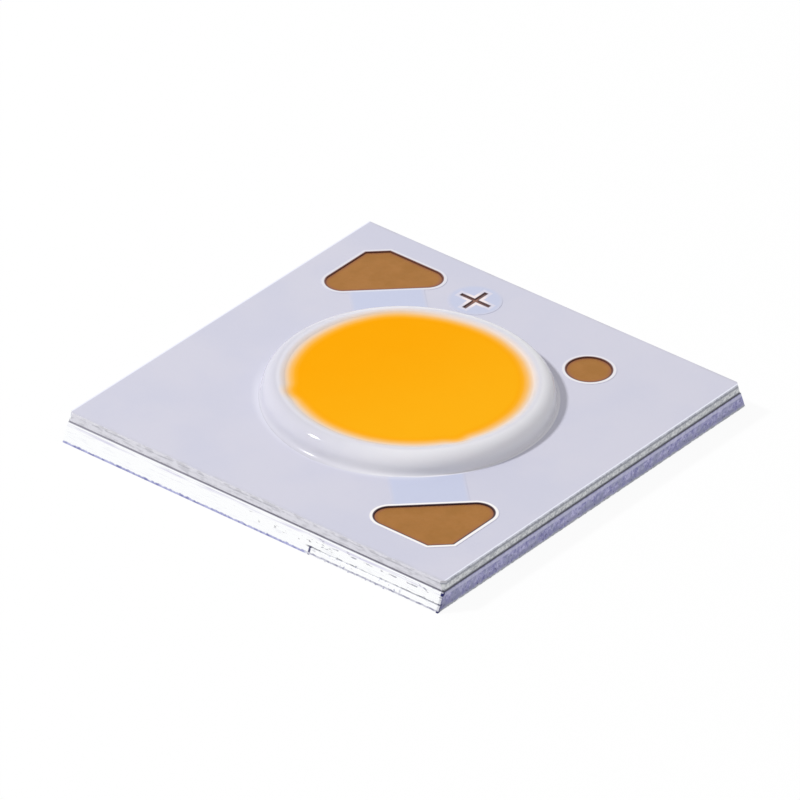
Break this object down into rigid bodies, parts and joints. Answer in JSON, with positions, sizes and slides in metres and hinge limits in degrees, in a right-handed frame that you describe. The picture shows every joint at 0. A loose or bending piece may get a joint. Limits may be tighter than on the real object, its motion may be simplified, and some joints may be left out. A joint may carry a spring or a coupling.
{
  "type": "chip-on-board led",
  "caption": "Square mirror-aluminium chip-on-board LED: round orange phosphor disc in a white silicone dam, corner solder pads, plus mark and temperature point.",
  "frame": {"origin": "centre of the underside, on the surface that the carrier rests on", "axes": "+Z out of the light-emitting face; X across the two scored sides of the carrier, Y across the two sheared sides; the anode pad is at the +X +Y corner"},
  "size_m": [0.014, 0.0136, 0.0015],
  "materials": {
    "aluminium": "mirror-finished face, scored sides bright with lengthwise streaks, sheared sides rough and darker",
    "bonding_film": "dark adhesive film",
    "laminate": "grey-green glass-epoxy, cut edge with fibres",
    "copper": "brownish gold plated copper, slightly mottled",
    "solder_mask": "white solder mask, satin",
    "dam": "white silicone, soft gloss",
    "phosphor": "orange-yellow phosphor silicone, satin",
    "die": "polished sapphire die",
    "die_attach": "cured die adhesive",
    "wire": "bright gold wire"
  },
  "bodies": {
    "root": {"aluminium_base": "aluminium", "bonding_film": "bonding_film", "laminate": "laminate", "anode_copper": "copper", "cathode_copper": "copper", "temperature_pad": "copper", "polarity_disc": "copper", "solder_mask": "solder_mask", "dam": "dam", "phosphor_fill": "phosphor", "die_attach_row_1": "die_attach", "die_attach_row_2": "die_attach", "die_attach_row_3": "die_attach", "die_attach_row_4": "die_attach", "die_attach_row_5": "die_attach", "die_attach_row_6": "die_attach", "die_row_1": "die", "die_row_2": "die", "die_row_3": "die", "die_row_4": "die", "die_row_5": "die", "die_row_6": "die", "bond_wires_row_1": "wire", "bond_wires_row_2": "wire", "bond_wires_row_3": "wire", "bond_wires_row_4": "wire", "bond_wires_row_5": "wire", "bond_wires_row_6": "wire"}
  },
  "joints": []
}
